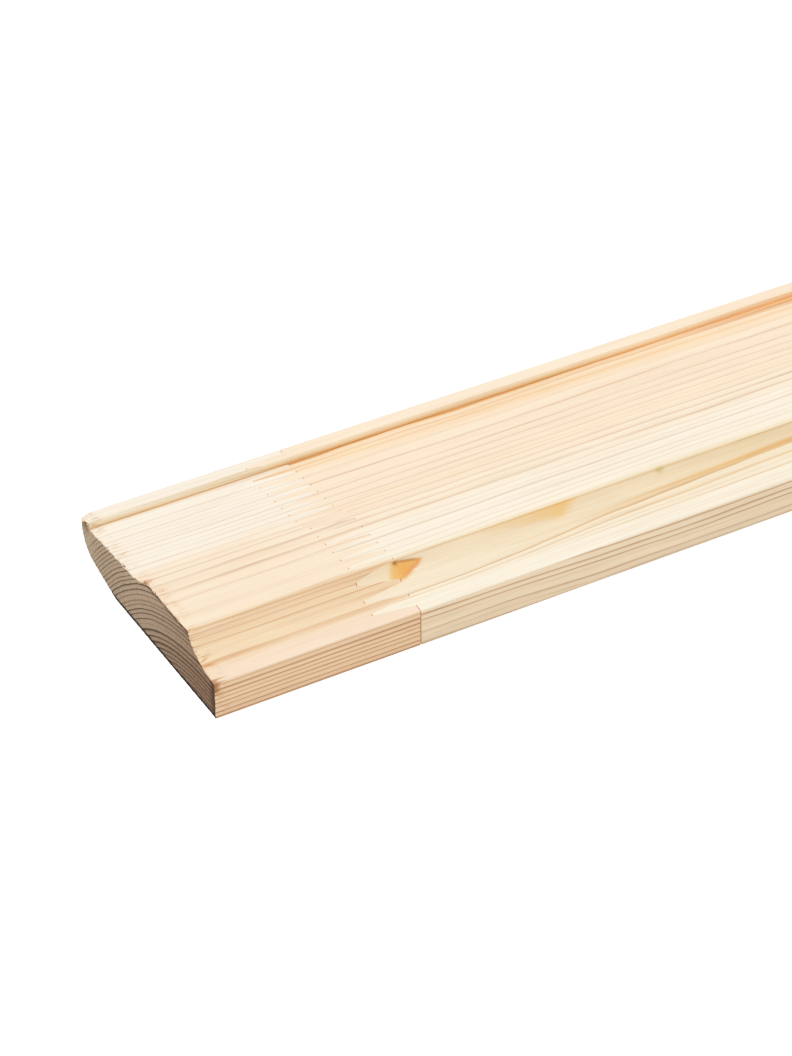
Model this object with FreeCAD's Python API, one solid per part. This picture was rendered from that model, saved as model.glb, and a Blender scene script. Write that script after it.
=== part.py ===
import FreeCAD, Part
import math
import os

# One length of softwood skirting board, glued up from staves by finger joints and then moulded.
# It lies on its flat back. X runs along the length, Y across the width and Z through the thickness.
# The toe, which stands on the floor of a room, is the edge at low Y, and the thin lip is at high Y.
# The origin is under the middle of the board, in the plane of the back. Sizes are millimetres.

# Overall sizes
length = 2400.0
width = 70.0
thickness = 17.0

# Toe side of the section: a band that rises a little, and a cove that climbs from it to the crest
toe_thickness = 10.1
toe_band_width = 4.4
toe_band_rise = 0.6
cove_width = 8.0
cove_radius = 12.5
crest_fillet_height = 0.5

# Raised flat behind the crest, and the hollow sweep that falls from it to the sunk field
raised_flat_width = 22.9
step_height = 0.8
sweep_width = 7.7
sweep_radius = 22.0
field_start_thickness = 14.1
field_end_thickness = 12.6

# Lip along the thin edge
lip_width = 4.2
lip_lean = 0.1
lip_thickness = 14.3

# Back of the thin edge, which is bevelled and rounded
back_bevel_width = 17.5
back_bevel_angle = 16.7
back_round_radius = 8.0

# Softened long corners
arris_radius = 0.4

# Finger joints, cut through the whole thickness so that the fingers show on the moulded face
finger_length = 11.2
finger_pitch = 3.7
finger_tip_width = 0.6
finger_tip_gap = 0.3
toe_finger_width = 2.2
least_edge_finger = 0.6

# Distance from one joint to the next, from the first end, and the shortest last stave
stave_lengths = [48.9, 470.0, 330.0, 560.0, 410.0]
least_last_stave = 60.0


def point(across, up):
    """A point of the section, from the toe edge and the back, in the board's own frame."""
    return FreeCAD.Vector(0.0, across - width / 2.0, up)


def line(start, end):
    return Part.LineSegment(start, end).toShape()


def corner_arc(start, end, corner):
    """A quarter round from start to end whose tangents meet at the corner."""
    centre = start + end - corner
    middle = centre + (corner - centre).normalize() * start.distanceToPoint(centre)
    return Part.Arc(start, middle, end).toShape()


def hollow_arc(start, end, radius):
    """An arc of the given radius from start to end that sags into the wood below its chord."""
    chord = end - start
    sag = radius - math.sqrt(radius ** 2 - (chord.Length / 2.0) ** 2)
    into_wood = FreeCAD.Vector(0.0, chord.z, -chord.y).normalize()
    return Part.Arc(start, (start + end) * 0.5 + into_wood * sag, end).toShape()


def toe_edges():
    """From the back of the toe up its edge, over the band and up the cove to the crest."""
    crest = toe_band_width + cove_width
    edge_top = point(0.0, toe_thickness - arris_radius)
    band_start = point(arris_radius, toe_thickness)
    band_end = point(toe_band_width, toe_thickness + toe_band_rise)
    cove_end = point(crest, thickness - crest_fillet_height)
    crest_side = point(crest, thickness - arris_radius)
    crest_top = point(crest + arris_radius, thickness)
    return [
        line(point(0.0, 0.0), edge_top),
        corner_arc(edge_top, band_start, point(0.0, toe_thickness)),
        line(band_start, band_end),
        hollow_arc(band_end, cove_end, cove_radius),
        line(cove_end, crest_side),
        corner_arc(crest_side, crest_top, point(crest, thickness)),
    ]


def face_edges():
    """Across the raised flat, down the sweep and over the field to the foot of the lip."""
    crest = toe_band_width + cove_width
    flat_end = crest + raised_flat_width
    flat_top = point(flat_end - arris_radius, thickness)
    flat_side = point(flat_end, thickness - arris_radius)
    sweep_start = point(flat_end, thickness - step_height)
    field_start = point(flat_end + sweep_width, field_start_thickness)
    return [
        line(point(crest + arris_radius, thickness), flat_top),
        corner_arc(flat_top, flat_side, point(flat_end, thickness)),
        line(flat_side, sweep_start),
        hollow_arc(sweep_start, field_start, sweep_radius),
        line(field_start, point(width - lip_width, field_end_thickness)),
    ]


def lip_edges():
    """Up the lip, over its top and round its back to the flat of the back."""
    bevel = math.radians(back_bevel_angle)
    corner_height = back_bevel_width * math.tan(bevel)
    turn = math.pi / 2.0 - bevel
    reach = back_round_radius * math.tan(turn / 2.0)
    lip_foot = point(width - lip_width, field_end_thickness)
    lip_shoulder = point(width - lip_width + lip_lean, lip_thickness)
    lip_top = point(width - arris_radius, lip_thickness)
    lip_side = point(width, lip_thickness - arris_radius)
    round_top = point(width, corner_height + reach)
    round_middle = point(
        width - back_round_radius * (1.0 - math.cos(turn / 2.0)),
        corner_height + reach - back_round_radius * math.sin(turn / 2.0),
    )
    round_foot = point(width - reach * math.cos(bevel), corner_height - reach * math.sin(bevel))
    bevel_foot = point(width - back_bevel_width, 0.0)
    return [
        line(lip_foot, lip_shoulder),
        line(lip_shoulder, lip_top),
        corner_arc(lip_top, lip_side, point(width, lip_thickness)),
        line(lip_side, round_top),
        Part.Arc(round_top, round_middle, round_foot).toShape(),
        line(round_foot, bevel_foot),
        line(bevel_foot, point(0.0, 0.0)),
    ]


def section_face():
    """The moulded section, in the plane X = 0."""
    return Part.Face(Part.Wire(toe_edges() + face_edges() + lip_edges()))


def joint_places():
    """Where the joints stand along the board, measured from its first end."""
    places = []
    reached = 0.0
    for stave_length in stave_lengths:
        reached += stave_length
        if reached + least_last_stave <= length:
            places.append(reached)
    return places


def finger_centres():
    """Where the right-hand stave's fingers stand across the board, from the toe edge."""
    first = toe_finger_width + finger_pitch / 2.0 - finger_tip_width / 2.0
    far_side = first + finger_pitch / 2.0 - finger_tip_width / 2.0 + least_edge_finger
    count = 1 + int((width - far_side) // finger_pitch)
    return [first + number * finger_pitch for number in range(count)]


def finger_line(joint, left_tip_gap, right_tip_gap):
    """The zigzag of a joint in plan. The fingers of either stave may stop short of the full depth."""
    low = joint - finger_length / 2.0
    flare = (finger_pitch / 2.0 - finger_tip_width) / finger_length
    tip_x = low + right_tip_gap
    root_x = low + finger_length - left_tip_gap
    tip_half = finger_tip_width / 2.0 + (tip_x - low) * flare
    root_half = finger_tip_width / 2.0 + (root_x - low) * flare
    corners = [(root_x, -width)]
    for centre in finger_centres():
        corners.append((root_x, centre - root_half))
        corners.append((tip_x, centre - tip_half))
        corners.append((tip_x, centre + tip_half))
        corners.append((root_x, centre + root_half))
    corners.append((root_x, 2.0 * width))
    return corners


def square_line(place):
    """A plain sawn end in plan."""
    return [(place, -width), (place, 2.0 * width)]


def stave(left_line, right_line):
    """One stave: the moulded section between two plan lines."""
    outline = left_line + right_line[::-1]
    low = min(x for x, y in outline)
    high = max(x for x, y in outline)
    bar = section_face().extrude(FreeCAD.Vector(high - low, 0.0, 0.0))
    bar.translate(FreeCAD.Vector(low - length / 2.0, 0.0, 0.0))
    corners = [
        FreeCAD.Vector(x - length / 2.0, y - width / 2.0, -thickness) for x, y in outline
    ]
    plan = Part.Face(Part.makePolygon(corners + corners[:1]))
    return bar.common(plan.extrude(FreeCAD.Vector(0.0, 0.0, 3.0 * thickness)))


def board():
    """All the staves, from the first end to the last."""
    left_lines = [square_line(0.0)]
    right_lines = []
    for joint in joint_places():
        right_lines.append(finger_line(joint, finger_tip_gap, 0.0))
        left_lines.append(finger_line(joint, 0.0, finger_tip_gap))
    right_lines.append(square_line(length))
    return [stave(left, right) for left, right in zip(left_lines, right_lines)]


os.makedirs("parts", exist_ok=True)
for number, piece in enumerate(board(), start=1):
    piece.Solids[0].exportStep(f"parts/stave_{number}.step")
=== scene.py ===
import math
import random
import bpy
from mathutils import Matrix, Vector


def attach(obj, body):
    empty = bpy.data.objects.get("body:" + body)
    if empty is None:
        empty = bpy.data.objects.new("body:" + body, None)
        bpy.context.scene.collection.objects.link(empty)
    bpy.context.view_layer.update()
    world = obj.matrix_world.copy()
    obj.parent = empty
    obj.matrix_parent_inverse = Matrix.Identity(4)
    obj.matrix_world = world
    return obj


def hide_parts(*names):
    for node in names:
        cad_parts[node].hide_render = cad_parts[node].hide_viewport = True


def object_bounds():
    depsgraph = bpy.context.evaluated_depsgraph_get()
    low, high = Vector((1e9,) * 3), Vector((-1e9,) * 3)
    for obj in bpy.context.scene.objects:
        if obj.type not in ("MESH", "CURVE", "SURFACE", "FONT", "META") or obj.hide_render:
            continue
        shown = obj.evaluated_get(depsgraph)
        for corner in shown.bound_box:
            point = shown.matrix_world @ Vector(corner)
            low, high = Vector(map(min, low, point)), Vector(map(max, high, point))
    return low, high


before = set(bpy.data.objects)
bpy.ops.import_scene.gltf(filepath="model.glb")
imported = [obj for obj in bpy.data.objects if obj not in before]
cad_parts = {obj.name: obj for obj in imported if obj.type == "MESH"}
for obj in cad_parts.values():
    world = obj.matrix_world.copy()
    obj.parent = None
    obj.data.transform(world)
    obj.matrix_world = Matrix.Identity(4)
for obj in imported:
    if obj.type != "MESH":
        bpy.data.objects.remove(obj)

from types import SimpleNamespace

import bmesh
import bpy
from bpy.props import FloatProperty, FloatVectorProperty, IntProperty, PointerProperty
from mathutils import Matrix, Vector, kdtree, noise

bl_info = {
    "name": "Finger-jointed skirting board",
    "version": (1, 0, 0),
    "blender": (4, 5, 0),
    "location": "3D View > Sidebar > Skirting",
    "description": "Dresses a length of pine skirting board with its grain, knot and torn saw cuts",
    "category": "Object",
}

BOARD_LOW, BOARD_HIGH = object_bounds()
MILLIMETRE = 0.001
WIDTH = (BOARD_HIGH.y - BOARD_LOW.y) / MILLIMETRE
THICKNESS = (BOARD_HIGH.z - BOARD_LOW.z) / MILLIMETRE

# The staves' nodes, from the end that the camera sees
STAVES = sorted(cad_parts)

# Places on the moulded section, in millimetres from the toe edge, and heights from the back
COVE_START = 4.4
CREST = 12.4
LIP = 65.8
TOE_TOP = 10.1
LIP_FOOT = 12.6
LIP_TOP = 14.3

# A point that is nearer to a plane than this lies in it.
IN_PLANE = 0.01 * MILLIMETRE

# Each dark growth ring of the first stave: how far it stands from the pith in millimetres, how dark
# it is, and how much resin browns it. The rings are narrow in the toe and fade towards the lip.
FIRST_STAVE_RINGS = [
    (44.5, 0.9, 0.9), (45.8, 0.95, 0.9), (47.0, 1.0, 0.9), (48.4, 0.95, 0.9), (49.65, 0.85, 0.9),
    (50.75, 0.85, 0.9), (52.0, 1.0, 0.9), (53.5, 1.0, 0.9), (54.7, 0.8, 0.8), (56.4, 0.75, 0.8),
    (57.6, 0.15, 0.6), (58.9, 0.85, 0.7), (60.3, 0.75, 0.5), (61.4, 0.5, 0.4), (62.5, 0.55, 0.3),
    (63.6, 0.25, 0.2), (64.9, 0.45, 0.2), (66.2, 0.65, 0.2), (67.6, 0.65, 0.2), (68.7, 0.6, 0.2),
    (69.6, 0.5, 0.2), (70.8, 0.65, 0.2), (71.9, 0.6, 0.1), (72.8, 0.5, 0.1), (73.7, 0.7, 0.1),
    (74.7, 0.75, 0.1), (75.7, 0.35, 0.1), (76.6, 0.5, 0.1), (77.5, 0.35, 0.1), (78.4, 0.65, 0.1),
    (79.5, 0.3, 0.1), (80.4, 0.6, 0.1), (81.6, 0.3, 0.2), (82.9, 0.4, 0.4), (83.75, 0.5, 0.8),
    (85.6, 0.15, 0.3), (86.5, 0.25, 0.2), (87.6, 0.15, 0.2), (89.0, 0.2, 0.2),
]

# The second stave's rings lie wide apart under the field and close together in the cove and toe.
SECOND_STAVE_RINGS = [
    (47.2, 0.2, 0.4), (48.7, 0.95, 1.0), (49.1, 0.35, 0.9), (51.0, 0.3, 0.5), (52.5, 0.7, 0.5),
    (54.8, 0.65, 0.4), (56.3, 0.5, 0.2), (57.9, 0.65, 0.1), (59.6, 0.7, 0.1), (61.2, 0.5, 0.1),
    (62.8, 0.65, 0.2), (65.4, 0.55, 0.2), (66.9, 0.5, 0.2), (68.3, 0.65, 0.3), (70.1, 0.7, 0.3),
    (71.7, 0.55, 0.1), (72.8, 0.55, 0.1), (74.0, 0.75, 0.1), (75.1, 0.25, 0.0), (76.2, 0.45, 0.0),
    (77.4, 0.6, 0.0), (78.5, 0.55, 0.1), (79.8, 0.1, 0.3), (81.4, 1.0, 0.86), (82.3, 0.75, 0.7),
    (83.0, 0.4, 0.5), (83.7, 0.7, 0.85), (84.8, 0.35, 0.8), (85.4, 1.0, 0.85), (86.2, 1.0, 0.85),
    (87.1, 1.0, 0.85), (88.3, 0.6, 0.8),
]

# Across one year's growth the wood darkens slowly and ends at a sharp edge.
YEARS_GROWTH = [
    (0.0, 0.03), (0.4, 0.06), (0.66, 0.2), (0.82, 0.8), (0.93, 1.0), (0.98, 0.6), (1.0, 0.04),
]

# Where the wood behind a saw cut is divided, as shares of the worked depth
CROSS_CUTS = (1.0, 0.625, 0.425, 0.3, 0.2125, 0.15, 0.1, 0.0625, 0.03125)

# A Mix node's two colour entries and its colour result. The others are for numbers and vectors.
MIX_FIRST, MIX_SECOND, MIX_RESULT = 6, 7, 2


def linear(shown):
    """The light of a colour part that a screen shows as a number from 0 to 255."""
    part = shown / 255.0
    return part / 12.92 if part <= 0.04045 else ((part + 0.055) / 1.055) ** 2.4


def size_of(name, description, millimetres):
    """A setting that is a length, with its default in millimetres."""
    return FloatProperty(
        name=name,
        description=description,
        default=millimetres * MILLIMETRE,
        unit="LENGTH",
        precision=5,
    )


def angle_of(name, description, degrees):
    """A setting that is an angle, with its default in degrees."""
    return FloatProperty(
        name=name, description=description, default=math.radians(degrees), unit="ROTATION"
    )


def amount_of(name, description, default, most):
    """A setting that is a strength, from nothing to the most."""
    return FloatProperty(name=name, description=description, default=default, min=0.0, max=most)


def colour_of(name, description, red, green, blue):
    """A setting that is a colour, with its default as a screen shows it."""
    return FloatVectorProperty(
        name=name,
        description=description,
        default=(linear(red), linear(green), linear(blue)),
        min=0.0,
        max=1.0,
        subtype="COLOR",
    )


class FirstStaveSettings(bpy.types.PropertyGroup):
    """The short stave at the sawn end."""

    pith_across: size_of("Pith across", "Heart of the tree, from the toe edge", 5.0)
    pith_up: size_of("Pith up", "Heart of the tree, from the back", -45.0)
    heartwood_reach: size_of("Heartwood reach", "Where the heartwood ends, from the pith", 69.0)
    heartwood_blend: size_of("Heartwood blend", "How softly the heartwood ends", 2.5)
    wander: size_of("Grain wander", "How far the grain strays from straight", 0.22)
    sapwood: colour_of("Sapwood", "Pale outer wood", 236, 202, 170)
    heartwood: colour_of("Heartwood", "Pinkish inner wood", 234, 183, 144)
    dark_ring: colour_of("Dark rings", "Late wood of each year", 138, 116, 96)
    resin_ring: colour_of("Resin rings", "Late wood soaked with resin", 134, 70, 22)
    # Painted shade: the cove's shade carried onto the flat's edge next to the crest
    crest_corner_shade: colour_of("Crest corner", "Crest next to the cove", 195, 149, 111)
    # Painted shade in the crease at the lip's foot, and painted light up its upright side
    lip_foot_shade: colour_of("Lip foot", "Foot of the lip's upright side", 236, 186, 134)
    lip_side_light: colour_of("Lip side", "Top of the lip's upright side", 255, 234, 192)
    toe_band: colour_of("Toe band", "Band on top of the toe edge", 218, 168, 136)
    toe_foot: colour_of("Toe foot", "Bottom corner of the toe edge", 96, 78, 62)


class SecondStaveSettings(bpy.types.PropertyGroup):
    """The stave behind the first joint, with the knot in its cove."""

    pith_across: size_of("Pith across", "Heart of the tree, from the toe edge", 75.0)
    pith_up: size_of("Pith up", "Heart of the tree, from the back", -35.0)
    heartwood_reach: size_of("Heartwood reach", "Where the heartwood ends, from the pith", 70.5)
    heartwood_blend: size_of("Heartwood blend", "How softly the heartwood ends", 5.0)
    wander: size_of("Grain wander", "How far the grain strays from straight", 0.3)
    sapwood: colour_of("Sapwood", "Pale outer wood", 238, 204, 167)
    heartwood: colour_of("Heartwood", "Peach inner wood", 237, 183, 145)
    dark_ring: colour_of("Dark rings", "Late wood of each year", 140, 124, 106)
    resin_ring: colour_of("Resin rings", "Late wood soaked with resin", 146, 86, 42)
    # Painted shade: the cove's shade carried onto the flat's edge next to the crest
    crest_corner_shade: colour_of("Crest corner", "Crest next to the cove", 205, 169, 131)
    # Painted shade in the crease at the lip's foot, and painted light up its upright side
    lip_foot_shade: colour_of("Lip foot", "Foot of the lip's upright side", 242, 190, 126)
    lip_side_light: colour_of("Lip side", "Top of the lip's upright side", 255, 248, 210)
    toe_band: colour_of("Toe band", "Band on top of the toe edge", 236, 207, 170)
    toe_foot: colour_of("Toe foot", "Bottom corner of the toe edge", 96, 84, 66)
    knot_along: size_of("Knot along", "Blunt end of the knot, from the sawn end", 53.7)
    knot_up: size_of("Knot up", "Top of the knot, under the crest, from the back", 16.5)
    knot_length: size_of("Knot length", "From its blunt end to its tip", 8.2)
    knot_breadth: size_of("Knot breadth", "From its top to its lower side", 3.8)
    knot_swell: size_of("Knot swell", "How far the grain bends round the knot", 2.1)
    knot_heart: colour_of("Knot", "Resin-soaked wood of the knot", 224, 132, 54)
    knot_rim: colour_of("Knot rim", "Redder wood at the knot's edge", 204, 112, 60)
    knot_halo: colour_of("Knot halo", "Pale yellow wood behind the knot", 234, 184, 112)
    knot_bark: colour_of("Knot bark", "Dark spot at the knot's rim", 104, 60, 28)
    pitch_tip: size_of("Pitch tip", "Blunt end of the pitch streak under the crest", 103.2)
    pitch_run: size_of("Pitch run", "Length of the pitch streak", 34.0)
    pitch_breadth: size_of("Pitch breadth", "Breadth of the pitch streak at its blunt end", 3.0)
    pitch: colour_of("Pitch", "Orange wood soaked with pitch", 228, 152, 70)


class FurtherStavesSettings(bpy.types.PropertyGroup):
    """The staves past the second one. Each has a tree of its own."""

    seed: IntProperty(name="Seed", description="Which timbers are picked", default=11, min=0)
    heartwood_blend: size_of("Heartwood blend", "How softly the heartwood ends", 4.0)
    least_ring: size_of("Narrowest ring", "Least width of a year's growth", 1.1)
    most_ring: size_of("Widest ring", "Greatest width of a year's growth", 2.3)
    wander: size_of("Grain wander", "How far the grain strays from straight", 0.6)
    sapwood: colour_of("Sapwood", "Pale outer wood", 236, 201, 164)
    heartwood: colour_of("Heartwood", "Peach inner wood", 230, 176, 138)
    dark_ring: colour_of("Dark rings", "Late wood of each year", 140, 116, 92)
    resin_ring: colour_of("Resin rings", "Late wood soaked with resin", 172, 112, 62)


class SawnEndSettings(bpy.types.PropertyGroup):
    """The saw cuts at both ends of the board."""

    worked_depth: size_of("Worked depth", "How deep behind the cut the wood is divided", 8.0)
    step_across: size_of("Step across", "Size of the small faces across the board", 0.4)
    step_up: size_of("Step up", "Size of the small faces through the thickness", 0.6)
    kerf_depth: size_of("Kerf depth", "How far the cut lies inside the tips of its fibres", 0.2)
    roughness_depth: size_of("Saw roughness", "Depth of the saw's marks", 0.12)
    tear_depth: size_of("Tear depth", "How deep the corner is torn", 0.8)
    bite_across: size_of("Bite across", "Broken corner of the lip, from the toe edge", 69.2)
    bite_up: size_of("Bite up", "Broken corner of the lip, from the back", 14.2)
    bite_reach: size_of("Bite reach", "Size of the broken corner", 1.9)
    bite_depth: size_of("Bite depth", "Depth of the broken corner", 1.1)
    bite_along: size_of("Bite along", "How far the broken corner runs along the board", 1.6)
    fibres: IntProperty(name="Fibres", description="Torn fibres along one cut", default=22, min=0)
    fibre_length: size_of("Fibre length", "Longest torn fibre", 1.8)
    fibre_breadth: size_of("Fibre breadth", "Thickest torn fibre", 0.15)
    seed: IntProperty(name="Seed", description="Which fibres are torn", default=4, min=0)
    outer_wood: colour_of("Outer end grain", "Cut end near the lip", 144, 126, 108)
    inner_wood: colour_of("Inner end grain", "Cut end near the toe", 103, 80, 66)
    brown_patch: colour_of("Brown patches", "Warmer stains on the cut", 120, 80, 58)
    ring_shade: colour_of("End rings", "Dark rings on the cut", 36, 22, 13)
    # Partly painted light: the joints' end grain is made lighter than the wood to offset the shade
    # in the narrow gaps
    fresh_grain_and_light: colour_of("Fresh end grain", "End grain inside the joints", 222, 190, 156)
    # Grime and painted shade on the cut's corners and along its bottom
    grime_and_shade: colour_of("Grime", "Grime and painted shade at the corners of the cut", 22, 14, 9)
    torn_wood: colour_of("Torn wood", "Broken fibres at the corner", 178, 128, 84)
    crack: colour_of("Cracks", "Split fibres near the cut", 128, 84, 50)


class StageSettings(bpy.types.PropertyGroup):
    """Floor, light and camera."""

    camera_azimuth: angle_of("Camera azimuth", "Turn round the board from its toe side", -29.211)
    camera_elevation: angle_of("Camera elevation", "Height above the floor", 35.91)
    camera_roll: angle_of("Camera roll", "Turn about the camera's own axis", -0.806)
    camera_distance: size_of("Camera distance", "From the point it looks at", 794.5)
    camera_lens: FloatProperty(
        name="Lens", description="Focal length", default=114.0, unit="CAMERA"
    )
    look_along: size_of("Look along", "Point looked at, from the sawn end", 61.0)
    look_across: size_of("Look across", "Point looked at, from the toe edge", 23.2)
    look_up: size_of("Look up", "Point looked at, from the back", 17.0)
    floor_size: size_of("Floor size", "Side of the square floor", 30000.0)
    floor_colour: colour_of("Floor", "Pale floor", 212, 201, 181)
    floor_glow: amount_of("Floor glow", "Light that the floor itself gives off", 2.6, 20.0)
    sky_light: amount_of("Room light", "Even light from all round", 0.8, 20.0)
    lamp_light: amount_of("Lamp", "Strength of the wide lamp overhead", 7.7, 100.0)
    lamp_spread: angle_of("Lamp spread", "How wide the lamp looks from the board", 110.0)
    lamp_tilt: angle_of("Lamp tilt", "How far the lamp leans towards the thin edge", 12.0)


def in_millimetres(length):
    return length / MILLIMETRE


# A material's sums

def feed(entry, term):
    """Gives a node's entry either a reading or a plain value."""
    if isinstance(term, Reading):
        term.tree.links.new(term.socket, entry)
    else:
        entry.default_value = term


class Reading:
    """A number or colour that a material works out at every point of the wood."""

    def __init__(self, socket):
        self.socket = socket
        self.tree = socket.id_data

    def sum_of(self, operation, *others):
        """One of a Math node's operations on this reading and others."""
        node = self.tree.nodes.new("ShaderNodeMath")
        node.operation = operation
        for entry, term in zip(node.inputs, (self, *others)):
            feed(entry, term)
        return Reading(node.outputs[0])

    def __add__(self, other):
        return self.sum_of("ADD", other)

    def __sub__(self, other):
        return self.sum_of("SUBTRACT", other)

    def __mul__(self, other):
        return self.sum_of("MULTIPLY", other)

    def __truediv__(self, other):
        return self.sum_of("DIVIDE", other)

    def root(self):
        return self.sum_of("SQRT")

    def size(self):
        return self.sum_of("ABSOLUTE")

    def whole(self):
        return self.sum_of("FLOOR")

    def part(self):
        return self.sum_of("FRACT")

    def at_least(self, least):
        return self.sum_of("MAXIMUM", least)

    def at_most(self, most):
        return self.sum_of("MINIMUM", most)

    def bell(self, reach):
        """One at zero, fading out on both sides over the reach."""
        scaled = self * (1.0 / reach)
        return (scaled * scaled * -1.0).sum_of("EXPONENT")

    def rise(self, start, end):
        """Nothing at the start and one at the end, smooth between them."""
        node = self.tree.nodes.new("ShaderNodeMapRange")
        node.interpolation_type = "SMOOTHSTEP"
        feed(node.inputs["Value"], self)
        node.inputs["From Min"].default_value = min(start, end)
        node.inputs["From Max"].default_value = max(start, end)
        node.inputs["To Min"].default_value = 0.0 if start < end else 1.0
        node.inputs["To Max"].default_value = 1.0 if start < end else 0.0
        return Reading(node.outputs["Result"])

    def drawn(self, points):
        """Reads a curve drawn through points whose two numbers run from 0 to 1."""
        node = self.tree.nodes.new("ShaderNodeFloatCurve")
        curve = node.mapping.curves[0]
        while len(curve.points) < len(points):
            curve.points.new(0.5, 0.5)
        for knob, place in zip(curve.points, points):
            knob.location = place
            knob.handle_type = "VECTOR"
        node.mapping.update()
        feed(node.inputs["Value"], self)
        return Reading(node.outputs["Value"])


def mixed(amount, first, second):
    """A colour between two others."""
    node = amount.tree.nodes.new("ShaderNodeMix")
    node.data_type = "RGBA"
    feed(node.inputs["Factor"], amount)
    for place, colour in ((MIX_FIRST, first), (MIX_SECOND, second)):
        feed(node.inputs[place], colour if isinstance(colour, Reading) else (*colour, 1.0))
    return Reading(node.outputs[MIX_RESULT])


def mottle(along, across, up, detail, roughness=0.5):
    """Soft noise round zero, whose patches are one unit of each reading in size."""
    tree = along.tree
    place = tree.nodes.new("ShaderNodeCombineXYZ")
    for entry, reading in zip(place.inputs, (along, across, up)):
        feed(entry, reading)
    node = tree.nodes.new("ShaderNodeTexNoise")
    tree.links.new(place.outputs[0], node.inputs["Vector"])
    node.inputs["Scale"].default_value = 1.0
    node.inputs["Detail"].default_value = detail
    node.inputs["Roughness"].default_value = roughness
    return Reading(node.outputs["Fac"]) - 0.5


def picked(reading):
    """A random number from 0 to 1 that is the same wherever the reading is."""
    node = reading.tree.nodes.new("ShaderNodeTexWhiteNoise")
    node.noise_dimensions = "1D"
    feed(node.inputs["W"], reading)
    return Reading(node.outputs["Value"])


def shaded(colour, tone):
    """A colour made lighter or darker by a reading near one."""
    node = tone.tree.nodes.new("ShaderNodeHueSaturation")
    feed(node.inputs["Color"], colour)
    feed(node.inputs["Value"], tone)
    return Reading(node.outputs["Color"])


# The wood

class Spot:
    """Where a point of the board is, in millimetres from the first end, toe and back.

    It also says how much the surface there is a saw cut, how much it faces the toe's side, and
    how far away the nearer end of the board is.
    """

    def __init__(self, tree):
        place = tree.nodes.new("ShaderNodeTexCoord").outputs["Object"]
        parts = tree.nodes.new("ShaderNodeSeparateXYZ")
        tree.links.new(place, parts.inputs[0])
        low = BOARD_LOW / MILLIMETRE
        self.along = Reading(parts.outputs["X"]) * (1.0 / MILLIMETRE) - low.x
        self.across = Reading(parts.outputs["Y"]) * (1.0 / MILLIMETRE) - low.y
        self.up = Reading(parts.outputs["Z"]) * (1.0 / MILLIMETRE) - low.z
        facing = tree.nodes.new("ShaderNodeSeparateXYZ")
        normal = tree.nodes.new("ShaderNodeNewGeometry").outputs["True Normal"]
        tree.links.new(normal, facing.inputs[0])
        self.cut = Reading(facing.outputs["X"]).size().rise(0.55, 0.8)
        self.towards_toe = (Reading(facing.outputs["Y"]) * -1.0).rise(0.7, 0.95)
        from_last = self.along * -1.0 + (BOARD_HIGH.x - BOARD_LOW.x) / MILLIMETRE
        self.from_end = self.along.at_most(from_last)


def wood_mottle(spot, along_rate, side_rate, shift=0.0, detail=2.0, roughness=0.5):
    """Soft noise round zero in the wood. Its rates say how many patches a millimetre holds."""
    along = spot.along * along_rate + shift
    return mottle(along, spot.across * side_rate, spot.up * side_rate, detail, roughness)


def cove(spot):
    """One in the hollow under the crest, and nothing on the toe band and the raised flat."""
    under_crest = spot.across.rise(CREST + 0.35, CREST + 0.05)
    return under_crest * spot.across.rise(COVE_START + 1.6, COVE_START + 3.1)


def growth(spot, timber):
    """How far a point was from the pith when the tree grew, with the grain's bends taken out."""
    aside = spot.across - in_millimetres(timber.pith_across)
    above = spot.up - in_millimetres(timber.pith_up)
    radius = (aside * aside + above * above).root()
    shift = timber.number * 37.0
    slow = wood_mottle(spot, 1 / 90.0, 1 / 30.0, shift, 1.0)
    fine = wood_mottle(spot, 1 / 24.0, 1 / 6.0, shift, 1.0)
    wander = in_millimetres(timber.wander)
    radius = radius + slow * (4.0 * wander) + fine * (1.6 * wander)
    for bow in timber.swells:
        bend = (spot.along - bow.along).bell(bow.length)
        bend = bend * (spot.across - bow.across).bell(bow.breadth)
        radius = radius - bend * bow.lift
    return radius


def rings(spot, radius, timber):
    """How dark the late wood is at a point, from 0 to 1, how resinous it is, and its year."""
    first, last = timber.rings[0][0], timber.rings[-1][0]
    count = len(timber.rings) - 1
    years = []
    darkness = []
    resin = []
    for number, (place, dark, browned) in enumerate(timber.rings):
        years.append(((place - first) / (last - first), number / count))
        darkness.append((number / count, dark))
        resin.append((number / count, browned))
    reached = ((radius - first) * (1.0 / (last - first))).drawn(years) * float(count) - 0.14
    year = reached.whole()
    width = picked(year + timber.number * 5.3) * 1.3 + 0.55
    growing = reached.part().sum_of("POWER", width).drawn(YEARS_GROWTH)
    place = (year * (1.0 / count) + 1.0 / count).at_most(1.0)
    fading = mottle(spot.along * (1 / 28.0), year * 7.7, year * 3.1, 1.0) * 1.1 + 1.05
    return growing * place.drawn(darkness) * fading, place.drawn(resin), year


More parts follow.
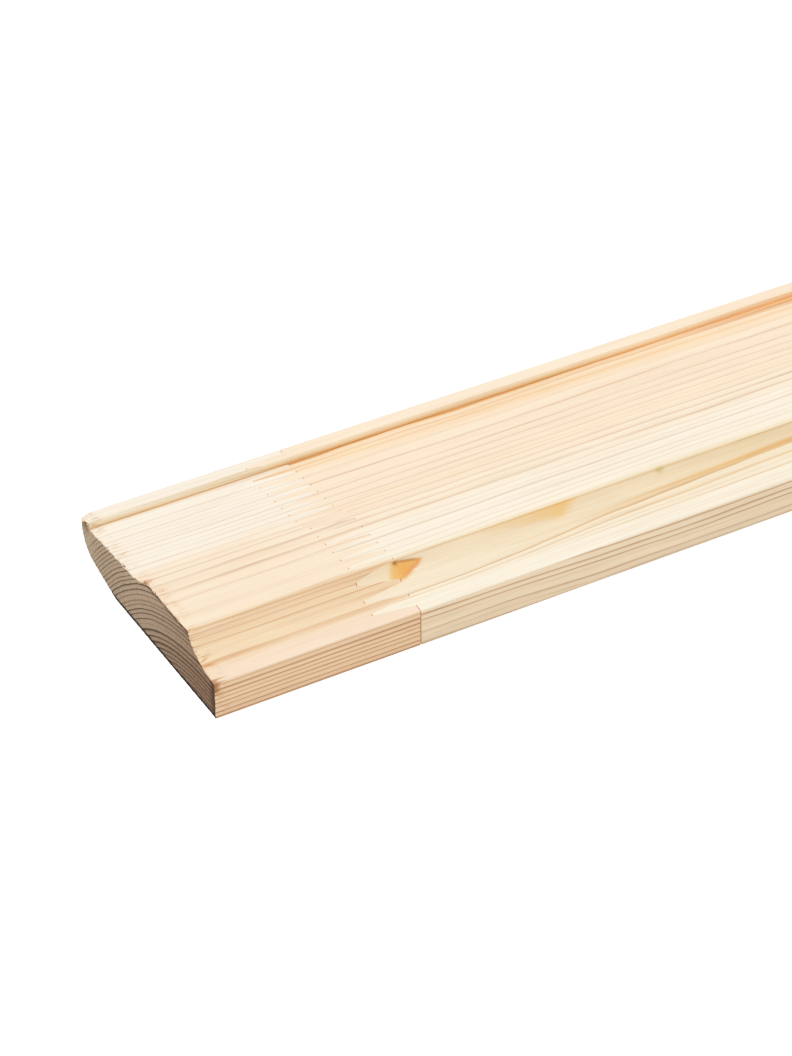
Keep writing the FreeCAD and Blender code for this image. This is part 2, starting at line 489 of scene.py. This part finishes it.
def side_grain(spot, timber, radius, late, resin, year):
    """The planed wood's colour."""
    reach = in_millimetres(timber.heartwood_reach)
    blend = in_millimetres(timber.heartwood_blend)
    heart = radius.rise(reach + blend, reach - blend)
    shift = timber.number * 11.0
    blush = wood_mottle(spot, 1 / 45.0, 1 / 3.5, shift, 1.0)
    heart = (heart + blush * 0.8).at_least(0.0).at_most(1.0)
    colour = mixed(heart, timber.sapwood, timber.heartwood)
    soaked = resin.rise(0.8, 0.9) * 0.9 + 0.95
    colour = mixed(late * soaked, colour, mixed(resin, timber.dark_ring, timber.resin_ring))
    if timber.edges:
        colour = edges_over(colour, spot, timber.edges)
    for stain in timber.streaks:
        lean = (spot.along - stain.along) * stain.slope
        patch = (spot.along - stain.along).bell(stain.length)
        patch = patch * (spot.across - lean - stain.across).bell(stain.breadth)
        colour = mixed(patch * stain.strength, colour, stain.colour)
    fibre = wood_mottle(spot, 1 / 22.0, 1.3, shift, 3.0, 0.75)
    drift = wood_mottle(spot, 1 / 60.0, 1 / 5.0, shift)
    tone = fibre * 0.6 + drift * 0.3 + picked(year + shift) * 0.06 + 0.97
    return shaded(colour, tone), fibre


def edges_over(colour, spot, edges):
    """Paints shade on the crest's corner next to the cove, painted crease shade at the foot of the
    lip's upright side and painted light on its top, tints the toe band and darkens the toe's foot.
    """
    # Painted shade along the flat's edge next to the cove, beside the crest
    corner = spot.across.rise(CREST + 1.7, CREST + 0.4)
    corner = corner * spot.up.rise(THICKNESS - 0.5, THICKNESS - 0.2)
    colour = mixed(corner * 0.8, colour, edges.crest_corner_shade)
    # Painted shade at the crease at the foot of the lip's upright face, and painted light towards
    # its top, which gets less light than the flat
    side = mixed(spot.up.rise(LIP_FOOT, LIP_TOP - 0.2), edges.lip_foot_shade, edges.lip_side_light)
    upright = spot.towards_toe * spot.across.rise(LIP - 1.8, LIP - 0.8)
    colour = mixed(upright * 0.85, colour, side)
    band = spot.across.rise(COVE_START + 0.5, COVE_START - 0.2)
    band = band * spot.up.rise(TOE_TOP - 1.1, TOE_TOP - 0.5) * (spot.towards_toe * -1.0 + 1.0)
    colour = mixed(band * 0.75, colour, edges.toe_band)
    # Darker towards the bottom corner of the toe edge
    toe_foot_darkening = spot.up.rise(0.6, 0.1) * spot.across.rise(0.5, 0.2)
    return mixed(toe_foot_darkening * 0.5, colour, edges.toe_foot)


def knot_over(colour, spot, settings):
    """Lays the knot, the pale wood behind it and its bark over the cove, below the crest."""
    below = spot.up * -1.0 + in_millimetres(settings.knot_up)
    along = spot.along + below * 0.5 - in_millimetres(settings.knot_along)
    length = in_millimetres(settings.knot_length)
    breadth = in_millimetres(settings.knot_breadth)
    in_cove = cove(spot)
    behind = along.rise(-7.0, -1.0) * along.rise(1.0, -0.5)
    behind = behind * below.rise(breadth + 0.8, breadth - 0.4)
    colour = mixed(behind * in_cove * 0.22, colour, settings.knot_halo)
    below = below - along * 0.13
    ahead = along.at_least(0.0) * (1.0 / length)
    aside = below.at_least(0.0) * (1.0 / breadth)
    ragged = wood_mottle(spot, 0.9, 1.2, detail=3.0, roughness=0.6) * 0.25
    fullness = 1.45
    reach = ahead.sum_of("POWER", fullness) + aside.sum_of("POWER", fullness) + ragged
    body = reach.rise(1.16, 0.88) * (along + ragged * 3.0).rise(-1.5, 0.7)
    body = body * below.rise(-0.3, 0.15) * in_cove
    bright = (ahead - 0.45).bell(0.4) * (aside - 0.45).bell(0.6)
    core = mixed(bright * 0.5 + 0.5, settings.knot_halo, settings.knot_heart)
    core = mixed(reach.rise(0.5, 1.0) * ahead.rise(0.1, 0.6), core, settings.knot_rim)
    cracks = wood_mottle(spot, 0.8, 3.0, roughness=0.6)
    core = mixed(cracks.rise(0.02, 0.2) * 0.35, core, settings.knot_rim)
    colour = mixed(body * 0.95, colour, core)
    bark = (along - 0.8 + ragged * 5.0).bell(0.8) * (below - 0.25 + ragged * 4.0).bell(0.4)
    seam = along.rise(-0.5, 1.0) * along.rise(8.0, 5.5) * (below - 0.05).bell(0.35) * 0.6
    return mixed(bark.at_most(0.85).at_least(seam) * in_cove, colour, settings.knot_bark)


def pitch_over(colour, spot, settings):
    """Lays a streak of pitch under the crest, which widens to a blunt end."""
    below = spot.up * -1.0 + in_millimetres(settings.knot_up)
    tip = in_millimetres(settings.pitch_tip)
    run = in_millimetres(settings.pitch_run)
    ragged = wood_mottle(spot, 0.25, 1.5) * 0.5
    grown = (spot.along - tip + run) * (1.0 / run)
    breadth = grown.at_least(0.05) * in_millimetres(settings.pitch_breadth)
    soaked = (below / breadth + ragged).rise(1.25, 0.55) * grown.rise(0.0, 0.5)
    blunt_end = (spot.along + below * 1.2 + ragged * 3.0).rise(tip + 3.0, tip - 2.0)
    soaked = soaked * blunt_end * cove(spot)
    return mixed(soaked * (grown.rise(0.4, 1.0) * 0.4 + 0.3), colour, settings.pitch)


def end_grain(spot, radius, late, cut):
    """The sawn end's colour: dull and greyed, with the same rings as the planed face."""
    patches = wood_mottle(spot, 1.0, 0.55, detail=3.0, roughness=0.65)
    speck = wood_mottle(spot, 1.0, 4.0, roughness=0.8)
    over_marks = spot.across * 2.2 + spot.up * 1.4
    along_marks = spot.across * 0.3 - spot.up * 0.5
    marks = mottle(spot.along, over_marks, along_marks, 1.0)
    colour = mixed((spot.across + radius).rise(40.0, 112.0), cut.inner_wood, cut.outer_wood)
    colour = mixed((patches * 2.2).at_least(0.0).at_most(0.6), colour, cut.brown_patch)
    faint_at_lip = spot.across.rise(LIP + 0.7, LIP - 5.8) * 0.6 + 0.4
    line = (late * 1.9).at_most(1.0) * (speck * 1.6 + 0.9) * faint_at_lip
    colour = mixed(line.at_least(0.0).at_most(0.92), colour, cut.ring_shade)
    # Grime and painted shade: the cut is darkened under the crest, at the toe, at the lip's corner
    # and along the bottom, partly dirt on its corners and partly painted shade where they meet the
    # planed faces and the floor
    under_crest = spot.up.rise(THICKNESS - 1.6, THICKNESS - 0.5) * 0.8
    toe = spot.across.rise(3.2, 0.4) * 0.85
    lip = spot.across.rise(LIP - 0.8, LIP + 1.7) * spot.up.rise(10.0, 13.2)
    dark_edge_mask = under_crest.at_least(toe).at_least(lip) * (patches * 1.4 + 0.85)
    back = (spot.up + patches * 0.8).rise(1.35, 0.75)
    colour = mixed(dark_edge_mask.at_least(back).at_least(0.0).at_most(0.95), colour, cut.grime_and_shade)
    colour = shaded(colour, speck * 0.9 + marks * 0.6 + patches * 0.4 + 1.02)
    # Inside the joints the end grain takes a lighter colour that offsets their shade: partly
    # painted light
    return mixed(spot.from_end.rise(4.0, 5.0), colour, cut.fresh_grain_and_light), speck


def torn_over(colour, spot, cut):
    """Browns the planed face where the saw tore its corner, and cracks it along the grain."""
    ragged = wood_mottle(spot, 0.5, 1.1, detail=3.0, roughness=0.6)
    torn = (spot.from_end.rise(1.8, 0.0) + ragged * 2.6 - 0.85).rise(0.0, 0.5)
    chip = spot.from_end.rise(2.4, 0.5) * (spot.across + ragged).rise(1.9, 1.1)
    chip = chip * (spot.up + ragged * 3.0).rise(5.8, 8.2)
    colour = mixed(torn * 0.75, colour, cut.torn_wood)
    colour = mixed(chip * 0.9, colour, cut.crack)
    patch = wood_mottle(spot, 0.1, 0.35, detail=1.0)
    hair = wood_mottle(spot, 0.35, 5.5, detail=1.0)
    crack = (hair + patch * 0.7).rise(0.07, 0.14) * spot.from_end.rise(4.6, 2.2)
    return mixed(crack * 0.7, colour, cut.crack)


def wood(timber):
    """A stave's material, from its tree."""
    cut = bpy.context.scene.skirting_sawn_end
    material = bpy.data.materials.new(timber.name + "_wood")
    material.use_nodes = True
    tree = material.node_tree
    surface = tree.nodes["Principled BSDF"]
    spot = Spot(tree)
    radius = growth(spot, timber)
    late, resin, year = rings(spot, radius, timber)
    side, fibre = side_grain(spot, timber, radius, late, resin, year)
    if timber.knot:
        side = pitch_over(knot_over(side, spot, timber.knot), spot, timber.knot)
    side = torn_over(side, spot, cut)
    end, speck = end_grain(spot, radius, late, cut)
    feed(surface.inputs["Base Color"], mixed(spot.cut, side, end))
    feed(surface.inputs["Roughness"], spot.cut * 0.25 + late * -0.08 + fibre * 0.15 + 0.6)
    surface.inputs["Specular IOR Level"].default_value = 0.1
    relief = tree.nodes.new("ShaderNodeBump")
    relief.inputs["Distance"].default_value = 0.06 * MILLIMETRE
    relief.inputs["Strength"].default_value = 0.6
    feed(relief.inputs["Height"], fibre + late * 0.3 + speck * spot.cut * 2.0)
    tree.links.new(relief.outputs["Normal"], surface.inputs["Normal"])
    return material


def swell(along, across, length, breadth, lift):
    """A place where the grain bows out, in millimetres."""
    return SimpleNamespace(along=along, across=across, length=length, breadth=breadth, lift=lift)


def streak(along, across, length, breadth, slope, strength, red, green, blue):
    """A long stain in the wood, in millimetres, leaning by the slope."""
    return SimpleNamespace(
        along=along, across=across, length=length, breadth=breadth, slope=slope, strength=strength,
        colour=(linear(red), linear(green), linear(blue)),
    )


def timber_of(number, settings, ring_list, swells, streaks, edges=None, knot=None):
    """A stave's tree, from its settings."""
    return SimpleNamespace(
        number=number,
        name=f"stave_{number}",
        pith_across=settings.pith_across,
        pith_up=settings.pith_up,
        heartwood_reach=settings.heartwood_reach,
        heartwood_blend=settings.heartwood_blend,
        wander=settings.wander,
        sapwood=tuple(settings.sapwood),
        heartwood=tuple(settings.heartwood),
        dark_ring=tuple(settings.dark_ring),
        resin_ring=tuple(settings.resin_ring),
        rings=ring_list,
        swells=swells,
        streaks=streaks,
        edges=edges,
        knot=knot,
    )


# The sawn ends

def cut_by_plane(mesh, faces, place, direction):
    """Cuts some faces of a mesh along a plane."""
    parts = set(faces)
    for face in faces:
        parts.update(face.edges)
        parts.update(face.verts)
    bmesh.ops.bisect_plane(
        mesh, geom=list(parts), dist=MILLIMETRE * 0.001, plane_co=place, plane_no=direction
    )


def steps_between(low, high, step):
    """Places one step apart, from one step past the low bound."""
    count = int((high - low) / step)
    return [low + number * step for number in range(1, count + 1)]


def sawn_copy(node, end, inward):
    """A copy of a stave whose sawn end is finely divided, pushed in and torn at the corner."""
    cut = bpy.context.scene.skirting_sawn_end
    mesh = bmesh.new()
    mesh.from_mesh(node.data)
    bmesh.ops.remove_doubles(mesh, verts=mesh.verts, dist=MILLIMETRE * 0.002)
    flat = math.radians(0.5)
    bmesh.ops.dissolve_limit(mesh, angle_limit=flat, verts=mesh.verts, edges=mesh.edges)
    along = Vector((1.0, 0.0, 0.0))
    for share in CROSS_CUTS:
        place = Vector((end + inward * cut.worked_depth * share, 0.0, 0.0))
        cut_by_plane(mesh, list(mesh.faces), place, along)

    def depth(vertex):
        return (vertex.co.x - end) * inward

    def worked(face):
        return all(depth(vertex) < cut.worked_depth + IN_PLANE for vertex in face.verts)

    def sawn(face):
        return all(abs(depth(vertex)) < IN_PLANE for vertex in face.verts)

    for across in steps_between(BOARD_LOW.y, BOARD_HIGH.y, cut.step_across):
        faces = [face for face in mesh.faces if worked(face)]
        cut_by_plane(mesh, faces, Vector((0.0, across, 0.0)), Vector((0.0, 1.0, 0.0)))
    for up in steps_between(BOARD_LOW.z, BOARD_HIGH.z, cut.step_up):
        faces = [face for face in mesh.faces if sawn(face)]
        cut_by_plane(mesh, faces, Vector((0.0, 0.0, up)), Vector((0.0, 0.0, 1.0)))
    tear_end(mesh, depth, sawn, inward, cut)
    return mesh_piece(mesh, node.name + "_sawn", 32.0)


def corner_finder(mesh, cut_faces):
    """Finds how far a place on the cut is from the corner between it and the planed faces."""
    corner = [
        vertex for vertex in mesh.verts
        if cut_faces.intersection(vertex.link_faces) and not cut_faces.issuperset(vertex.link_faces)
    ]
    tree = kdtree.KDTree(len(corner))
    for number, vertex in enumerate(corner):
        tree.insert((0.0, vertex.co.y, vertex.co.z), number)
    tree.balance()
    return lambda vertex: tree.find((0.0, vertex.co.y, vertex.co.z))[2]


def roughness_at(place, rate, layer):
    """Noise between -1 and 1 across the end of the board. Each layer is a pattern of its own."""
    return noise.noise(Vector((place.y * rate, place.z * rate, layer)))


def tear_end(mesh, depth, sawn, inward, cut):
    """Pushes the end face in, roughens it and breaks its corner."""
    mesh.normal_update()
    cut_faces = {face for face in mesh.faces if sawn(face)}
    from_corner = corner_finder(mesh, cut_faces)
    bite_place = BOARD_LOW + Vector((0.0, cut.bite_across, cut.bite_up))
    moves = {}
    for vertex in mesh.verts:
        into = depth(vertex)
        if into > cut.worked_depth * 0.99:
            continue
        place = vertex.co / MILLIMETRE
        skin = Vector((0.0, 0.0, 0.0))
        for face in vertex.link_faces:
            if face not in cut_faces:
                skin += face.normal
        bite = roughness_at(place, 0.55, 3.7)
        crumbs = roughness_at(place, 2.3, 8.1)
        ragged = max(0.0, 0.25 + 0.9 * bite + 0.5 * crumbs)
        reach = (0.5 + 1.1 * max(0.0, bite + 0.3)) * MILLIMETRE
        gap = (vertex.co - bite_place).yz.length
        broken = math.exp(-(gap / cut.bite_reach) ** 2)
        move = Vector((0.0, 0.0, 0.0))
        if skin.length > 0.0 and skin.z > 0.2 * skin.length:
            sideways = Vector((0.0, skin.y, skin.z)).normalized()
            move -= sideways * cut.tear_depth * ragged * math.exp(-into / reach)
        crumbled = broken * (0.9 + 0.5 * crumbs) * math.exp(-((into / cut.bite_along) ** 2))
        move -= Vector((0.0, 0.25, 1.0)) * cut.bite_depth * crumbled
        if into < IN_PLANE:
            marks = noise.noise(Vector((place.y * 1.7 + place.z * 0.4, place.z * 0.9, 1.3)))
            grit = roughness_at(place, 4.1, 5.9)
            push = cut.kerf_depth + cut.roughness_depth * (0.6 * marks + 0.5 * grit)
            from_toe, from_back = vertex.co.y - BOARD_LOW.y, vertex.co.z - BOARD_LOW.z
            moulded_side = from_toe > 1.0 * MILLIMETRE and from_back > 6.0 * MILLIMETRE
            if moulded_side:
                close = math.exp(-from_corner(vertex) / (0.5 * MILLIMETRE))
                push += close * ragged * cut.tear_depth * 0.7
            push += cut.bite_depth * broken * 0.5
            move.x += inward * push
        moves[vertex] = move
    for vertex, move in moves.items():
        vertex.co += move


def sliver(mesh, root, tip, breadth, thickness):
    """A closed splinter of wood that narrows to its tip."""
    run = tip - root
    side = run.cross(Vector((0.0, 0.0, 1.0)))
    if side.length == 0.0:
        side = Vector((0.0, 1.0, 0.0))
    side.normalize()
    rise = side.cross(run).normalized()
    loops = []
    for place in (0.0, 0.35, 0.7):
        middle = root + run * place
        taper = 1.0 - 0.75 * place
        wide = side * breadth * 0.5 * taper
        tall = rise * thickness * 0.5 * taper
        loops.append([
            mesh.verts.new(middle + wide * a + tall * b)
            for a, b in ((1, 1), (-1, 1), (-1, -1), (1, -1))
        ])
    point = mesh.verts.new(tip)
    mesh.faces.new(loops[0])
    for near, far in zip(loops, loops[1:]):
        for number in range(4):
            following = (number + 1) % 4
            mesh.faces.new((near[following], near[number], far[number], far[following]))
    for number in range(4):
        mesh.faces.new((loops[-1][(number + 1) % 4], loops[-1][number], point))


def corner_points(node, end):
    """Points of the section's outline, read from the node's own end face."""
    outline = []
    for vertex in node.data.vertices:
        if abs(vertex.co.x - end) < IN_PLANE:
            outline.append((vertex.co.y, vertex.co.z))
    return sorted(set((round(y, 6), round(z, 6)) for y, z in outline))


def moulded_height(outline, across):
    """Height of the moulded face at a place across the board."""
    back_below = 8.0 * MILLIMETRE
    upper = [(y, z) for y, z in outline if z > back_below]
    for (low_y, low_z), (high_y, high_z) in zip(upper, upper[1:]):
        if low_y <= across <= high_y and high_y > low_y:
            return low_z + (high_z - low_z) * (across - low_y) / (high_y - low_y)
    return upper[0][1] if across < upper[0][0] else upper[-1][1]


def torn_fibres(node, end, inward, name):
    """Loose fibres and lifted splinters along one saw cut, just inside the board's box."""
    cut = bpy.context.scene.skirting_sawn_end
    picks = random.Random(cut.seed)
    outline = corner_points(node, end)
    inset = 0.1 * MILLIMETRE
    mesh = bmesh.new()
    for _ in range(cut.fibres):
        across = picks.uniform(BOARD_LOW.y + 0.4 * MILLIMETRE, BOARD_HIGH.y - 0.6 * MILLIMETRE)
        top = moulded_height(outline, across)
        length = cut.fibre_length * picks.uniform(0.25, 1.0) ** 1.5
        breadth = cut.fibre_breadth * picks.uniform(0.4, 1.0)
        start = picks.uniform(0.4, 1.2) * MILLIMETRE
        below = picks.uniform(0.1, 0.6) * MILLIMETRE
        root = Vector((end + inward * start, across, top - below))
        reach = min(length, start * 0.95)
        sideways = picks.uniform(-0.5, 0.5) * length
        drop = picks.uniform(-0.25, 0.15) * length
        tip_up = min(top - below - drop, BOARD_HIGH.z - 0.5 * inset)
        tip = Vector((end + inward * (start - reach), across + sideways, tip_up))
        tip.y = min(max(tip.y, BOARD_LOW.y + inset), BOARD_HIGH.y - inset)
        sliver(mesh, root, tip, breadth, breadth * 0.6)
    bmesh.ops.recalc_face_normals(mesh, faces=mesh.faces)
    return mesh_piece(mesh, name, 50.0)


def mesh_piece(mesh, name, sharp_from):
    """Makes an object of a mesh, smooth but for the edges that turn more than some degrees."""
    data = bpy.data.meshes.new(name)
    mesh.to_mesh(data)
    mesh.free()
    data.shade_smooth()
    data.set_sharp_from_angle(angle=math.radians(sharp_from))
    piece = bpy.data.objects.new(name, data)
    bpy.context.scene.collection.objects.link(piece)
    return piece


def dress(piece, material):
    """Gives every face of a piece one material."""
    if not piece.data.materials:
        piece.data.materials.append(None)
    for slot in piece.material_slots:
        slot.link = "OBJECT"
        slot.material = material


# The operators

class SKIRTING_OT_first_stave(bpy.types.Operator):
    """Make the short stave with the sawn end, in place of its plain solid"""

    bl_idname = "skirting.first_stave"
    bl_label = "First stave"

    def execute(self, context):
        settings = context.scene.skirting_first_stave
        streaks = [
            streak(20.0, 8.5, 60.0, 3.4, 0.0, 0.35, 224, 168, 112),
            streak(27.0, 36.6, 5.0, 1.6, 0.0, 0.3, 205, 150, 128),
            streak(20.0, 34.6, 12.0, 1.0, 0.02, 0.2, 222, 168, 130),
            streak(25.0, 38.5, 60.0, 3.4, 0.0, 0.5, 222, 168, 130),
            # Partly grain, partly painted shade in the crease along the lip's foot
            streak(25.0, 65.45, 60.0, 0.42, 0.0, 0.95, 162, 112, 68),
            streak(25.0, -0.5, 60.0, 0.8, 0.0, 0.35, 246, 208, 176),
            streak(1.6, 5.8, 1.6, 0.5, 0.0, 0.9, 196, 120, 72),
            # Painted shadow along the upper side of the torn flake
            streak(1.3, 7.2, 1.5, 0.3, 0.3, 0.8, 140, 100, 60),
            streak(1.8, 1.2, 1.5, 0.3, 0.0, 0.8, 140, 92, 54),
            streak(0.7, 34.4, 1.4, 0.8, 0.0, 0.7, 160, 98, 64),
        ]
        timber = timber_of(1, settings, FIRST_STAVE_RINGS, [], streaks, settings)
        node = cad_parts["stave_1"]
        piece = sawn_copy(node, BOARD_LOW.x, 1.0)
        dress(piece, wood(timber))
        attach(piece, "root")
        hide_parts("stave_1")
        return {"FINISHED"}


class SKIRTING_OT_second_stave(bpy.types.Operator):
    """Give the second stave its grain, knot and resin streaks"""

    bl_idname = "skirting.second_stave"
    bl_label = "Second stave"

    def execute(self, context):
        settings = context.scene.skirting_second_stave
        knot_along = in_millimetres(settings.knot_along)
        swells = [
            swell(knot_along + 1.9, 9.2, 45.0, 9.0, in_millimetres(settings.knot_swell)),
        ]
        streaks = [
            streak(150.0, 9.5, 400.0, 4.6, 0.0, 0.45, 230, 184, 134),
            streak(58.0, 39.8, 11.0, 0.8, -0.08, 0.5, 196, 138, 104),
            streak(66.0, 62.8, 14.0, 1.4, -0.02, 0.4, 232, 160, 104),
            streak(140.0, 61.2, 90.0, 2.6, 0.0, 0.8, 232, 158, 110),
            streak(130.0, 61.3, 300.0, 0.4, 0.0, 0.6, 204, 140, 92),
            streak(150.0, 39.0, 200.0, 3.5, 0.0, 0.3, 230, 176, 128),
            streak(105.0, 64.9, 60.0, 0.7, 0.0, 0.5, 222, 150, 92),
            streak(230.0, 65.4, 60.0, 0.5, 0.0, 1.5, 244, 156, 100),
            streak(230.0, 64.45, 60.0, 0.6, 0.0, 1.3, 170, 112, 68),
            streak(150.0, 11.5, 60.0, 1.6, 0.0, 0.35, 214, 176, 122),
            streak(155.0, 9.95, 48.0, 0.35, 0.02, 0.85, 204, 130, 64),
            streak(128.6, 12.5, 1.1, 0.6, 0.0, 1.6, 190, 164, 112),
            streak(140.0, 7.45, 45.0, 0.3, 0.012, 0.3, 206, 146, 90),
            streak(130.0, -0.5, 200.0, 0.8, 0.0, 0.35, 244, 222, 196),
        ]
        timber = timber_of(2, settings, SECOND_STAVE_RINGS, swells, streaks, settings, settings)
        dress(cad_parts["stave_2"], wood(timber))
        return {"FINISHED"}


def further_timber(number, settings):
    """A tree picked for one of the staves that follow."""
    picks = random.Random(settings.seed * 100 + number)
    pith_across = picks.uniform(-0.3, 1.3) * WIDTH
    pith_up = picks.choice((-1.0, 1.0)) * picks.uniform(35.0, 65.0)
    furthest = max(
        math.hypot(across - pith_across, up - pith_up)
        for across in (0.0, WIDTH) for up in (0.0, THICKNESS)
    )
    nearest_across = min(max(pith_across, 0.0), WIDTH)
    nearest_up = min(max(pith_up, 0.0), THICKNESS)
    nearest = math.hypot(nearest_across - pith_across, nearest_up - pith_up)
    narrowest = in_millimetres(settings.least_ring)
    widest = in_millimetres(settings.most_ring)
    spare = 6.0
    ring_list = [(nearest - spare, 0.5, 0.5)]
    while ring_list[-1][0] < furthest + spare:
        place = ring_list[-1][0] + picks.uniform(narrowest, widest)
        ring_list.append((place, picks.uniform(0.3, 0.9), picks.uniform(0.0, 0.9)))
    reach = picks.uniform(nearest, furthest)
    tree = SimpleNamespace(
        pith_across=pith_across * MILLIMETRE,
        pith_up=pith_up * MILLIMETRE,
        heartwood_reach=reach * MILLIMETRE,
        heartwood_blend=settings.heartwood_blend,
        wander=settings.wander,
        sapwood=settings.sapwood,
        heartwood=settings.heartwood,
        dark_ring=settings.dark_ring,
        resin_ring=settings.resin_ring,
    )
    return timber_of(number, tree, ring_list, [], [])


class SKIRTING_OT_further_staves(bpy.types.Operator):
    """Give each further stave a tree of its own, and the last one its saw cut"""

    bl_idname = "skirting.further_staves"
    bl_label = "Further staves"

    def execute(self, context):
        settings = context.scene.skirting_further_staves
        for number, name in enumerate(STAVES[2:], start=3):
            material = wood(further_timber(number, settings))
            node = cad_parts[name]
            if name == STAVES[-1]:
                piece = sawn_copy(node, BOARD_HIGH.x, -1.0)
                dress(piece, material)
                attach(piece, "root")
                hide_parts(name)
            else:
                dress(node, material)
        return {"FINISHED"}


class SKIRTING_OT_torn_fibres(bpy.types.Operator):
    """Hang torn fibres along both saw cuts"""

    bl_idname = "skirting.torn_fibres"
    bl_label = "Torn fibres"

    def execute(self, context):
        ends = ((STAVES[0], BOARD_LOW.x, 1.0), (STAVES[-1], BOARD_HIGH.x, -1.0))
        for name, end, inward in ends:
            piece = torn_fibres(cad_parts[name], end, inward, name + "_torn_fibres")
            dress(piece, bpy.data.materials[name + "_wood"])
            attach(piece, "root")
        return {"FINISHED"}


class SKIRTING_OT_stage(bpy.types.Operator):
    """Lay the floor and set the light and the camera"""

    bl_idname = "skirting.stage"
    bl_label = "Floor, light and camera"

    def execute(self, context):
        stage = context.scene.skirting_stage
        lay_floor(stage)
        hang_lamp(stage)
        stand_camera(context.scene, stage)
        develop(context.scene)
        return {"FINISHED"}


def lay_floor(stage):
    """A wide pale floor that shows as white and doesn't light the board by its own glow."""
    half = stage.floor_size / 2.0
    clearance = 0.05 * MILLIMETRE
    level = BOARD_LOW.z - clearance
    data = bpy.data.meshes.new("floor")
    data.from_pydata(
        [(-half, -half, level), (half, -half, level), (half, half, level), (-half, half, level)],
        [],
        [(0, 1, 2, 3)],
    )
    floor = bpy.data.objects.new("floor", data)
    bpy.context.scene.collection.objects.link(floor)
    material = bpy.data.materials.new("pale_floor")
    material.use_nodes = True
    surface = material.node_tree.nodes["Principled BSDF"]
    surface.inputs["Base Color"].default_value = (*stage.floor_colour, 1.0)
    surface.inputs["Roughness"].default_value = 1.0
    surface.inputs["Specular IOR Level"].default_value = 0.0
    surface.inputs["Emission Color"].default_value = (1.0, 1.0, 1.0, 1.0)
    surface.inputs["Emission Strength"].default_value = stage.floor_glow
    data.materials.append(material)
    lit = bpy.data.collections.new("lit_by_the_floor")
    lit.objects.link(floor)
    floor.light_linking.receiver_collection = lit


def hang_lamp(stage):
    """A very wide soft lamp overhead, and even light from all round."""
    lamp = bpy.data.lights.new("wide_lamp", "SUN")
    lamp.energy = stage.lamp_light
    lamp.angle = stage.lamp_spread
    hung = bpy.data.objects.new("wide_lamp", lamp)
    hung.rotation_euler = (-stage.lamp_tilt, 0.0, 0.0)
    bpy.context.scene.collection.objects.link(hung)
    world = bpy.data.worlds.new("even_room_light")
    world.use_nodes = True
    background = world.node_tree.nodes["Background"]
    background.inputs["Color"].default_value = (1.0, 1.0, 1.0, 1.0)
    background.inputs["Strength"].default_value = stage.sky_light
    bpy.context.scene.world = world


def stand_camera(scene, stage):
    """A camera that looks down on the sawn end from the toe side."""
    look_at = BOARD_LOW + Vector((stage.look_along, stage.look_across, stage.look_up))
    turn = (
        Matrix.Rotation(stage.camera_azimuth, 4, "Z")
        @ Matrix.Rotation(math.pi / 2.0 - stage.camera_elevation, 4, "X")
        @ Matrix.Rotation(stage.camera_roll, 4, "Z")
    )
    back = turn @ Vector((0.0, 0.0, 1.0))
    data = bpy.data.cameras.new("camera")
    data.lens = stage.camera_lens
    data.sensor_width = 36.0
    data.clip_start, data.clip_end = 0.01, 100.0
    camera = bpy.data.objects.new("camera", data)
    camera.matrix_world = Matrix.Translation(look_at + back * stage.camera_distance) @ turn
    scene.collection.objects.link(camera)
    scene.camera = camera


def develop(scene):
    """Bright light is rounded off softly, as on a well exposed print."""
    brightest = 3.0
    view = scene.view_settings
    view.view_transform = "Standard"
    view.use_curve_mapping = True
    mapping = view.curve_mapping
    mapping.white_level = (brightest, brightest, brightest)
    all_channels = mapping.curves[3]
    steps = 16
    while len(all_channels.points) < steps + 1:
        all_channels.points.new(0.5, 0.5)
    for number, knob in enumerate(all_channels.points):
        part = (number / steps) ** 1.5
        shown = (1.0 - math.exp(-part * brightest)) / (1.0 - math.exp(-brightest))
        knob.location = (part, shown)
    mapping.update()


class SKIRTING_PT_panel(bpy.types.Panel):
    """Settings and steps of the skirting board"""

    bl_idname = "SKIRTING_PT_panel"
    bl_label = "Skirting board"
    bl_space_type = "VIEW_3D"
    bl_region_type = "UI"
    bl_category = "Skirting"

    def draw(self, context):
        for group, operator in zip(SETTINGS, OPERATORS):
            box = self.layout.box()
            settings = getattr(context.scene, group)
            for name in settings.__annotations__:
                box.prop(settings, name)
            box.operator(operator.bl_idname)


# The settings stand in the order of the operators that use them.
SETTINGS = {
    "skirting_first_stave": FirstStaveSettings,
    "skirting_second_stave": SecondStaveSettings,
    "skirting_further_staves": FurtherStavesSettings,
    "skirting_sawn_end": SawnEndSettings,
    "skirting_stage": StageSettings,
}
OPERATORS = [
    SKIRTING_OT_first_stave,
    SKIRTING_OT_second_stave,
    SKIRTING_OT_further_staves,
    SKIRTING_OT_torn_fibres,
    SKIRTING_OT_stage,
]


def register():
    for kind in (*SETTINGS.values(), *OPERATORS, SKIRTING_PT_panel):
        bpy.utils.register_class(kind)
    for name, kind in SETTINGS.items():
        setattr(bpy.types.Scene, name, PointerProperty(type=kind))


def unregister():
    for name in SETTINGS:
        delattr(bpy.types.Scene, name)
    for kind in reversed((*SETTINGS.values(), *OPERATORS, SKIRTING_PT_panel)):
        bpy.utils.unregister_class(kind)


def main():
    register()
    bpy.ops.skirting.first_stave()
    bpy.ops.skirting.second_stave()
    bpy.ops.skirting.further_staves()
    bpy.ops.skirting.torn_fibres()
    bpy.ops.skirting.stage()


if __name__ == "__main__":
    main()
